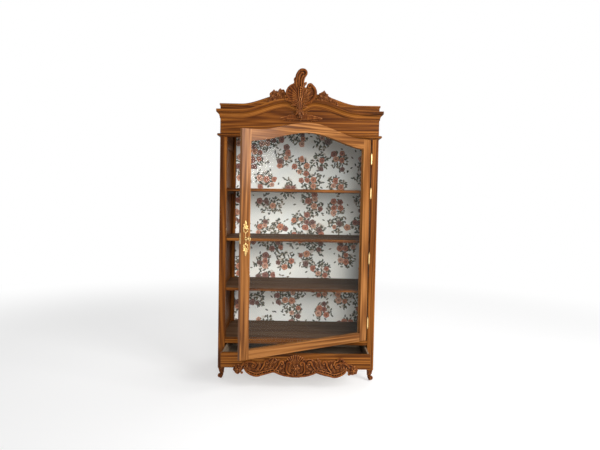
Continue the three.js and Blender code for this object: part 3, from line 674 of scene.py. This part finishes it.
def carve(name, bm, origin, chisel, rounds=2, turn=stays):
    bmesh.ops.transform(bm, matrix=turn @ Matrix.Translation(origin) @ Matrix.Scale(mm, 4),
                        verts=bm.verts)
    mesh = bpy.data.meshes.new(name)
    bm.to_mesh(mesh)
    bm.free()
    block = bpy.data.objects.new(name + "_block", mesh)
    scene.collection.objects.link(block)
    join = block.modifiers.new("join", "REMESH")
    join.mode = "VOXEL"
    join.voxel_size = chisel
    sand = block.modifiers.new("sand", "SMOOTH")
    sand.factor = 0.5
    sand.iterations = rounds
    bpy.context.view_layer.update()
    depsgraph = bpy.context.evaluated_depsgraph_get()
    carved = bpy.data.meshes.new_from_object(block.evaluated_get(depsgraph))
    bpy.data.objects.remove(block)
    carved.shade_smooth()
    return carved


def carveCrest():
    look = carving["crest"]
    origin = Vector((0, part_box("cornice")[0].y - 0.001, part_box("crest")[0].z))
    bm = bmesh.new()
    addBacking(bm, "crest", origin, look["backing"])
    # plume: flutes that lean over to the right at the top
    addStroke(bm, [(-24, 222), (-27, 262), (-25, 300), (-10, 334), (16, 346), (38, 335), (40, 314),
                   (27, 305)], [4, 7, 9, 10, 10, 9, 7, 5], 0, 7)
    addStroke(bm, [(-9, 222), (-12, 262), (-8, 298), (6, 322), (22, 324)], [5, 8, 9, 8, 6], 0, 11)
    addStroke(bm, [(7, 222), (6, 262), (12, 292), (22, 306)], [5, 8, 8, 6], 0, 11)
    addStroke(bm, [(20, 226), (21, 258), (26, 284), (34, 298)], [4, 6, 6, 4], 0, 7)
    addLeaf(bm, (-16, 226), (-44, 292), 26, 12, 0.15, 3)
    addLeaf(bm, (16, 232), (44, 262), 22, 10, -0.1, 2)
    # fan on the left, scroll on the right
    addShell(bm, (4, 146), 108, 104, 190, 7, 13)
    addStroke(bm, [(-40, 248), (-66, 236), (-88, 212), (-97, 184), (-88, 156), (-66, 140)],
              [4, 6, 7, 7, 6, 4], 0, 6)
    addStroke(bm, [(30, 104), (70, 122), (98, 152), (108, 186), (99, 216), (80, 238)]
              + spiral((66, 229), 17, 55, 1.1), [7, 11, 10, 8, 6, 5, 4], 0, 8)
    for reach, degrees in ((78, 62), (88, 40), (86, 18)):
        angle = math.radians(degrees)
        tip = (10 + reach * math.cos(angle), 142 + reach * math.sin(angle))
        addLeaf(bm, (8, 142), tip, 26, 13, -0.12, 3)
    # beads down the middle, between two ribbons
    addStroke(bm, [(-13, 226), (-14, 190), (-9, 150), (-4, 120)], [4, 5, 4, 3], 0, 11)
    addStroke(bm, [(15, 226), (17, 190), (11, 150), (3, 120)], [4, 5, 4, 3], 0, 11)
    for number in range(7):
        addBead(bm, (1, 222 - number * (17 - number * 0.9)), 8.5 - number * 0.75, -14)
    # leaves that fall from the fan and gather into the tail
    addLeaf(bm, (-6, 150), (-88, 128), 40, 13, 0.22, 5)
    addLeaf(bm, (-4, 130), (-62, 96), 34, 12, 0.18, 4)
    addLeaf(bm, (6, 128), (82, 116), 34, 12, -0.20, 4)
    addLeaf(bm, (4, 112), (52, 84), 30, 11, -0.18, 4)
    addLeaf(bm, (-2, 142), (-4, 62), 46, 17, 0.0, 5)
    addLeaf(bm, (-4, 84), (-30, 30), 26, 15, 0.15, 4)
    addLeaf(bm, (0, 84), (26, 30), 26, 15, -0.15, 4)
    addLeaf(bm, (-2, 80), (-2, 8), 26, 19, 0.0, 4)
    # leaves laid flat on the frieze under the tail
    friezeBack = (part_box("pediment_board")[0].y - origin.y) / mm - 0.5
    for tip, width, bend in (((-138, 6), 34, 0.10), ((160, 8), 34, -0.10), ((-84, 30), 30, -0.10),
                             ((92, 32), 30, 0.10), ((-46, 44), 26, -0.1), ((50, 44), 26, 0.1)):
        addLeaf(bm, (tip[0] * 0.05, 14), tip, width, 11, bend, 5, friezeBack)
    addRose(bm, (0, 18), 24, 20, friezeBack)
    makePiece("crest_carving", carve("crest", bm, origin, look["chisel"]), ["crest"])


sprays = {
    "left": {"roses": [(-196, 40, 22), (-160, 58, 21), (-126, 74, 20)],
             "leaves": [(-200, 34, -224, 30), (-198, 44, -216, 66), (-182, 50, -188, 92),
                        (-166, 56, -168, 84), (-150, 62, -140, 100), (-140, 62, -118, 92),
                        (-120, 60, -102, 70), (-176, 34, -190, 12), (-146, 40, -130, 30)]},
    "right": {"roses": [(146, 64, 21), (178, 56, 23), (214, 34, 18)],
              "leaves": [(150, 70, 134, 86), (166, 70, 172, 106), (186, 62, 196, 82),
                         (206, 44, 222, 54), (226, 28, 250, 34), (240, 18, 268, 14),
                         (150, 56, 126, 62), (190, 40, 208, 22), (160, 48, 146, 34)]},
}


def carveSprays():
    look = carving["sprays"]
    for name, spray in sprays.items():
        node = "crest_spray_" + name
        low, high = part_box(node)
        origin = Vector((0, high.y - 0.0005, low.z))
        bm = bmesh.new()
        addBacking(bm, node, origin, look["backing"])
        for fromX, fromZ, toX, toZ in spray["leaves"]:
            addLeaf(bm, (fromX, fromZ), (toX, toZ), 22, 13, 0.12, 3)
        for number, (x, z, reach) in enumerate(spray["roses"]):
            addRose(bm, (x, z), reach, 18, 0, 5, number * 31)
        makePiece(node + "_carving", carve(node, bm, origin, look["chisel"]), [node])


# leaves of one half of the apron: root, tip, width and bend
apronLeaves = [
    ((342, 50), (330, 84), 24, 0.1), ((312, 34), (318, 76), 26, -0.1),
    ((276, 30), (256, 78), 28, 0.15), ((262, 34), (236, 56), 22, 0.1),
    ((250, 60), (246, 100), 26, 0.1), ((222, 40), (186, 66), 26, -0.15),
    ((196, 44), (168, 92), 28, 0.1), ((182, 84), (150, 136), 30, 0.12),
    ((210, 96), (206, 124), 22, 0.0), ((170, 50), (150, 78), 24, 0.1),
    ((158, 92), (132, 116), 24, -0.1), ((120, 50), (84, 66), 26, -0.15),
    ((104, 40), (70, 34), 22, 0.1), ((84, 60), (74, 96), 22, 0.0),
    ((372, 66), (346, 112), 20, 0.1), ((360, 34), (376, 22), 18, 0.0),
    ((108, 106), (116, 128), 20, 0.0), ((302, 104), (306, 118), 18, 0.0),
]


def carveApron():
    look = carving["apron"]
    low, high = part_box("drawer_apron")
    origin = Vector(((low.x + high.x) / 2 + 0.0075, high.y, low.z))
    bm = bmesh.new()
    addBacking(bm, "drawer_apron", origin, look["backing"])
    for side in (-1, 1):
        def at(x, z):
            return (side * x, z)

        rim = [at(x, z) for x, z in (
            (352, 56), (334, 36), (300, 17), (266, 10), (228, 20), (190, 30), (150, 40),
            (116, 28), (78, 16), (40, 11), (0, 9))]
        addStroke(bm, rim, [4, 7, 8, 8, 8, 7, 7, 7, 7, 7, 7], 0, 9)
        addStroke(bm, [(x, z + 19) for x, z in rim[:8]], [3, 4, 4, 4, 3], 0, 10)
        for number in range(15):  # a row of beads in the hollow between the two rims
            x, z = between([Vector(point) for point in rim[:8]], number / 14)
            addBead(bm, (x, z + 10), 4.4, -9)
        addRose(bm, at(398, 56), 33, 20, 0, 6, 15)
        addBead(bm, at(398, 56), 9, -17)
        # scroll that leaves the end rose and rolls in over the lobe
        addStroke(bm, [at(372, 74), at(352, 96), at(322, 108), at(292, 104)]
                  + [at(x, z) for x, z in spiral((290, 82), 21, 90, 0.95)],
                  [6, 9, 9, 8, 6, 5, 4], 0, 10)
        addBead(bm, at(290, 82), 8, -9)
        # three scrolls that stand up between the lobes
        addStroke(bm, [at(246, 42), at(226, 70), at(214, 96)]
                  + [at(x, z) for x, z in spiral((196, 104), 17, 0, 0.95)],
                  [4, 8, 8, 7, 5, 4], 0, 11)
        addStroke(bm, [at(146, 46), at(126, 72), at(112, 96)]
                  + [at(x, z) for x, z in spiral((94, 100), 17, 0, 0.95)],
                  [4, 8, 8, 7, 5, 4], 0, 11)
        addStroke(bm, [at(14, 20), at(44, 26), at(62, 50), at(60, 82)]
                  + [at(x, z) for x, z in spiral((43, 96), 16, 0, 1.0)],
                  [5, 8, 9, 8, 6, 4], 0, 12)
        for root, tip, width, bend in apronLeaves:
            addLeaf(bm, at(*root), at(*tip), width, 14, bend * side, 4)
    # the shell and flower in the middle
    addShell(bm, (0, 74), 80, 38, 142, 9, 14)
    addLeaf(bm, (0, 62), (0, 2), 62, 15, 0, 5)
    addLeaf(bm, (0, 62), (-34, 14), 30, 14, 0.1, 4)
    addLeaf(bm, (0, 62), (34, 14), 30, 14, -0.1, 4)
    addRose(bm, (0, 66), 29, 23, 0, 6)
    # the open scroll near the right end
    addStroke(bm, [(262, 92), (272, 116)] + spiral((309, 118), 24, 170, -0.85, 0.5),
              [4, 6, 7, 6, 5], 0, 15)
    makePiece("drawer_apron_carving", carve("apron", bm, origin, look["chisel"]), ["drawer_apron"])


def carveFeet():
    look = carving["feet"]
    for side, name in ((-1, "left"), (1, "right")):
        node = "front_foot_" + name
        low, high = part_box(node)
        bm = bmesh.new()
        addStroke(bm, [(-1, 84), (1, 72), (3, 60), (-1, 46), (-7, 34), (-7, 24), (0, 14)],
                  [23, 21, 17, 13, 11, 10, 9], 0, 0, 0.85)
        addStroke(bm, [(16, 80), (16, 66), (8, 50), (2, 40)], [6, 6, 4, 3], 0, 0, 1.2)
        for face in (-1, 1):
            addStroke(bm, spiral((8, 17.5), 15, 150, -1.4), [5.5, 5, 4, 3.5], face * 9, 0, 1.4)
            addStroke(bm, [(12, 78), (10, 64), (4, 52), (-4, 40)], [5, 5, 4, 3], face * 12, 0)
            addStroke(bm, [(-16, 78), (-14, 64), (-14, 50), (-14, 38)], [4, 4, 3, 3], face * 9, 0)
        for step in range(5):  # the toe's barrel
            addBead(bm, (8, 17.5), 11.5, (step - 2) * 3.0)
        for vert in bm.verts:
            vert.co.z = min(max(vert.co.z, 0.0), look["top"])
        turn = Matrix.Rotation(math.radians(-45 if side > 0 else -135), 4, "Z")
        centre = Vector((side * abs(low.x + high.x) / 2, (low.y + high.y) / 2, 0))
        stand = Matrix.Translation(centre) @ turn
        mesh = carve(node, bm, (0, 0, 0), look["chisel"], turn=stand)
        makePiece(node + "_carving", mesh, [node])


carveCrest()
carveSprays()
carveApron()
carveFeet()
print("carvings cut")


# Brass. Turned parts have a profile of (radius, height) that starts and ends on the axis.
def addTurned(bm, profile, place, steps=28):
    start = len(bm.verts)
    verts = [bm.verts.new((radius, 0, height)) for radius, height in profile]
    edges = [bm.edges.new(pair) for pair in zip(verts, verts[1:])]
    bmesh.ops.spin(bm, geom=verts + edges, cent=(0, 0, 0), axis=(0, 0, 1), dvec=(0, 0, 0),
                   angle=2 * math.pi, steps=steps, use_merge=True, use_duplicate=False)
    bm.verts.ensure_lookup_table()
    bmesh.ops.transform(bm, matrix=place, verts=bm.verts[start:])
    bmesh.ops.remove_doubles(bm, verts=bm.verts[start:], dist=0.000005)


def addBlock(bm, low, high, ease):
    low, high = Vector(low), Vector(high)
    size = high - low
    place = Matrix.Translation((low + high) / 2) @ Matrix.Diagonal((*size, 1))
    verts = bmesh.ops.create_cube(bm, size=1, matrix=place)["verts"]
    edges = list(dict.fromkeys(edge for vert in verts for edge in vert.link_edges))
    bmesh.ops.bevel(bm, geom=edges, offset=ease, affect="EDGES", segments=2, profile=0.5,
                    material=-1, clamp_overlap=True)


hingeLook = {"radius": 0.0060, "neck": 0.0048, "leaf": 0.0020, "gap": 0.0002}


def makeHinges():
    radius, neck, gap = hingeLook["radius"], hingeLook["neck"], hingeLook["gap"]
    for number in range(1, 5):
        for node, side in ((f"post_hinge_{number}", -1), (f"door_hinge_{number}", 1)):
            turn = doorTurn if side > 0 else stays
            low, high = closedBox(node) if side > 0 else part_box(node)
            middle = low.z if side > 0 else closedBox(f"door_hinge_{number}")[0].z
            half = (high.z - middle) if side > 0 else (middle - low.z)
            barrel = half - 0.0050
            profile = [(0, gap), (radius - 0.0006, gap), (radius, gap + 0.0006),
                       (radius, barrel - 0.0060), (neck, barrel - 0.0052), (neck, barrel - 0.0044),
                       (radius, barrel - 0.0036), (radius, barrel - 0.0006), (radius * 0.4, barrel),
                       (radius * 0.36, barrel + 0.0006), (radius * 0.58, barrel + 0.0022),
                       (radius * 0.50, barrel + 0.0040), (0, half)]
            bm = bmesh.new()
            place = Matrix.Translation((hingePoint.x, hingePoint.y, middle))
            addTurned(bm, [(r, z * side) for r, z in profile], place)
            ends = sorted((middle + side * gap, middle + side * (barrel - 0.001)))
            addBlock(bm, (hingePoint.x - hingeLook["leaf"] / 2, hingePoint.y + neck, ends[0]),
                     (hingePoint.x + hingeLook["leaf"] / 2, high.y, ends[1]), 0.0003)
            if side > 0:
                bmesh.ops.transform(bm, matrix=doorTurn, verts=bm.verts)
            makePiece(node + "_turned", meshFrom(node, bm, 30), [node], "z", turn)


def makeLock():
    for node in ("lock_case", "lock_bolt", "strike_plate"):
        bm = boardBlank(node)
        easeEdges(bm, 0.0004, 2)
        makePiece(node + "_finished", meshFrom(node, bm), [node])


def makeEscutcheon():
    low, high = closedBox("escutcheon")
    origin = Vector(((low.x + high.x) / 2, high.y, (low.z + high.z) / 2))
    bm = bmesh.new()
    ring = [(5.6 * math.sin(step * math.pi / 8), 8.2 * math.cos(step * math.pi / 8) - 2)
            for step in range(17)]
    addStroke(bm, ring, [2.0, 2.0], 0, 1.6)
    for half in (1, -1):  # the lower half is the upper one turned round
        def at(x, z):
            return (half * x, half * z)

        addStroke(bm, [at(0, 7), at(-2, 20), at(0, 32)], [1.1, 1.1, 1.4], 0, 1.0)
        addStroke(bm, [at(-5, 30), at(5, 38), at(13, 48)]
                  + [at(x, z) for x, z in spiral((8, 58), 9, -30, 0.95)],
                  [2.0, 2.6, 3.0, 3.0, 2.6, 2.0], 0, 1.8)
        addStroke(bm, [at(4, 31), at(-4, 36), at(-12, 44), at(-15, 56)]
                  + [at(x, z) for x, z in spiral((-8, 66), 9, 190, -0.95)],
                  [1.8, 2.4, 2.8, 3.0, 2.4, 2.0], 0, 1.8)
        addStroke(bm, [at(9, 49), at(2, 60), at(-2, 74), at(4, 86), at(2, 98)],
                  [2, 3, 3, 3, 2], 0, 1.8)
        addLeaf(bm, at(0, 70), at(0, 111), 17, 4.4, 0.05, 4)
        addLeaf(bm, at(2, 66), at(17, 78), 10, 3.8, 0.1, 3)
        addLeaf(bm, at(-2, 74), at(-16, 86), 10, 3.8, -0.1, 3)
        addLeaf(bm, at(-6, 46), at(-18, 40), 8, 3.4, 0.0, 2)
        addLeaf(bm, at(8, 46), at(18, 40), 8, 3.4, 0.0, 2)
    mesh = carve("escutcheon", bm, origin, carving["escutcheon"]["chisel"], 1, doorTurn)
    makePiece("escutcheon_scrollwork", mesh, ["escutcheon"], "z", doorTurn)


keyLook = {"wire": 0.0026, "shaft": 0.0025, "collar": 0.0045, "bitWidth": 0.0024,
           "bitLength": 0.006, "bitReach": 0.0075}


def makeKey():
    low, high = closedBox("key")
    wire, shaft, collar = keyLook["wire"], keyLook["shaft"], keyLook["collar"]
    centre = (low + high) / 2
    bowRadius = (high.z - low.z) / 2
    bowCentre = Vector((centre.x, low.y + bowRadius, centre.z))
    run = closedBox("door_stile_lock")[0].y - bowCentre.y
    front = bowRadius - 0.005
    quarter = math.radians(90)
    bm = bmesh.new()
    addTurned(bm, [(0, front), (0.0030, front), (0.0042, front + 0.002), (0.0030, front + 0.004),
                   (0.0026, front + 0.005), (collar, front + 0.0065), (collar, front + 0.008),
                   (0.0026, front + 0.0095), (shaft, run - 0.010), (0.0036, run - 0.009),
                   (0.0036, run - 0.006), (shaft, run - 0.005), (shaft, run + 0.011),
                   (0, run + 0.012)],
              Matrix.Translation(bowCentre) @ Matrix.Rotation(-quarter, 4, "X"), 20)
    # the bow is a wire ring, spun flat and then stood on edge
    section = bmesh.ops.create_circle(
        bm, segments=12, radius=wire, cap_ends=False,
        matrix=Matrix.Translation((bowRadius - wire, 0, 0)) @ Matrix.Rotation(quarter, 4, "X"))
    edges = list(dict.fromkeys(edge for vert in section["verts"] for edge in vert.link_edges))
    bmesh.ops.spin(bm, geom=section["verts"] + edges, cent=(0, 0, 0), axis=(0, 0, 1),
                   dvec=(0, 0, 0), angle=2 * math.pi, steps=40, use_merge=True,
                   use_duplicate=False)
    ring = [vert for vert in bm.verts
            if abs(vert.co.z) <= wire * 1.01 and vert.co.length < bowRadius * 1.1]
    bmesh.ops.transform(
        bm, matrix=Matrix.Translation(bowCentre) @ Matrix.Rotation(quarter, 4, "Y"), verts=ring)
    caseLow, caseHigh = closedBox("lock_case")
    middle = (caseLow.y + caseHigh.y) / 2
    width, length = keyLook["bitWidth"] / 2, keyLook["bitLength"] / 2
    addBlock(bm, (centre.x - width, middle - length, centre.z - keyLook["bitReach"]),
             (centre.x + width, middle + length, centre.z), 0.0003)
    bmesh.ops.transform(bm, matrix=doorTurn, verts=bm.verts)
    makePiece("key_turned", meshFrom("key", bm, 40), ["key"], "z", doorTurn)


makeHinges()
makeLock()
makeEscutcheon()
makeKey()
print("hinges, lock and key turned")


def makeGlass():
    pane = frame["nodes"]["door_glass"]
    pane.data.materials.clear()
    pane.data.materials.append(finishes["glass"])


lining = {"step": 0.012, "ripple": 0.0002, "thick": 0.0010, "behind": 0.0016}


def makeLining():
    low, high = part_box("fabric_lining")
    size = high - low
    bm = bmesh.new()
    bmesh.ops.create_grid(bm, x_segments=int(size.x / lining["step"]),
                          y_segments=int(size.z / lining["step"]), size=0.5)
    for vert in bm.verts:
        x, z = vert.co.x * size.x, vert.co.y * size.z
        wave = math.sin(x * 23 + math.sin(z * 7)) * math.sin(z * 5 + 1.3 * math.sin(x * 9))
        vert.co = (x, low.y + lining["behind"] + lining["ripple"] * wave, (low.z + high.z) / 2 + z)
    bm.normal_update()
    bmesh.ops.solidify(bm, geom=bm.faces, thickness=lining["thick"])
    sheet = makePiece("lining_cloth", meshFrom("lining", bm, 60), ["fabric_lining"])


makeGlass()
makeLining()
print("glass and lining in")


view = {"away": 4.0333, "aside": 0.001, "height": 1.3338, "lens": 33.62,
        "pan": -0.19, "tilt": 87.18, "roll": 1.03}


def makeCamera():
    data = bpy.data.cameras.new("camera")
    data.lens = view["lens"]
    data.sensor_width = 36
    camera = bpy.data.objects.new("camera", data)
    scene.collection.objects.link(camera)
    place = (view["aside"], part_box("front_post_left")[0].y - view["away"], view["height"])
    camera.matrix_world = (Matrix.Translation(place)
                           @ Matrix.Rotation(math.radians(view["pan"]), 4, "Z")
                           @ Matrix.Rotation(math.radians(view["tilt"]), 4, "X")
                           @ Matrix.Rotation(math.radians(view["roll"]), 4, "Z"))
    scene.camera = camera


studio = {
    "surround": 0.45, "floor": 0.56, "floorGlow": 0.47, "fadeFrom": 2.6, "fadeTo": 5.5,
    "floorSize": 60, "lampAim": (0, 0, 1),
    "lamps": [("key", (3.4, -3.4, 2.7), 2.4, 270), ("back", (1.6, 3.4, 3.6), 2.5, 40)],
    "spot": {"place": (0.5, -5.2, 2.2), "aim": (0, 0, 1.15), "power": 1100, "cone": 34,
             "blend": 0.6, "soft": 1.3},
}


def makeWorld():
    world = bpy.data.worlds.new("studio")
    world.use_nodes = True
    tree = world.node_tree
    background = tree.nodes["Background"]
    background.inputs["Color"].default_value = (1, 1, 1, 1)
    rays = tree.nodes.new("ShaderNodeLightPath")
    strength = tree.nodes.new("ShaderNodeMapRange")  # seen as white, but a softer light
    strength.inputs["To Min"].default_value = studio["surround"]
    strength.inputs["To Max"].default_value = 1.0
    tree.links.new(rays.outputs["Is Camera Ray"], strength.inputs["Value"])
    tree.links.new(strength.outputs[0], background.inputs["Strength"])
    scene.world = world
    scene.view_settings.view_transform = "Standard"


def placeLamp(data, place, aim):
    lamp = bpy.data.objects.new(data.name, data)
    scene.collection.objects.link(lamp)
    lamp.location = place
    lamp.rotation_euler = (Vector(aim) - Vector(place)).to_track_quat("-Z", "Y").to_euler()
    return lamp


def makeLamps():
    for name, place, size, power in studio["lamps"]:
        data = bpy.data.lights.new(name, "AREA")
        data.size = size
        data.energy = power
        placeLamp(data, place, studio["lampAim"])
    spot = studio["spot"]
    data = bpy.data.lights.new("front", "SPOT")
    data.energy = spot["power"]
    data.spot_size = math.radians(spot["cone"])
    data.spot_blend = spot["blend"]
    data.shadow_soft_size = spot["soft"]
    placeLamp(data, spot["place"], spot["aim"]).visible_glossy = False


def makeFloor():  # pale where the cabinet stands, and white further off
    bm = bmesh.new()
    bmesh.ops.create_grid(bm, x_segments=1, y_segments=1, size=studio["floorSize"])
    mesh = bpy.data.meshes.new("floor")
    bm.to_mesh(mesh)
    bm.free()
    floor = bpy.data.objects.new("floor", mesh)
    scene.collection.objects.link(floor)
    paint = Finish("floorPaint", Roughness=1.0, Emission_Strength=1.0, Specular_IOR_Level=0.0)
    across, deep, _ = paint.split(paint.node("ShaderNodeTexCoord", output="Object"))
    away = (across * across + deep * deep).root()
    far = paint.fade(away, studio["fadeFrom"], studio["fadeTo"])
    mesh.materials.append(paint.done(
        Base_Color=paint.mix(far, (studio["floor"],) * 3, (0.0, 0.0, 0.0)),
        Emission_Color=paint.mix(far, (studio["floorGlow"],) * 3, (1.0, 1.0, 1.0))))


makeCamera()
makeWorld()
makeLamps()
makeFloor()
print("studio lit")
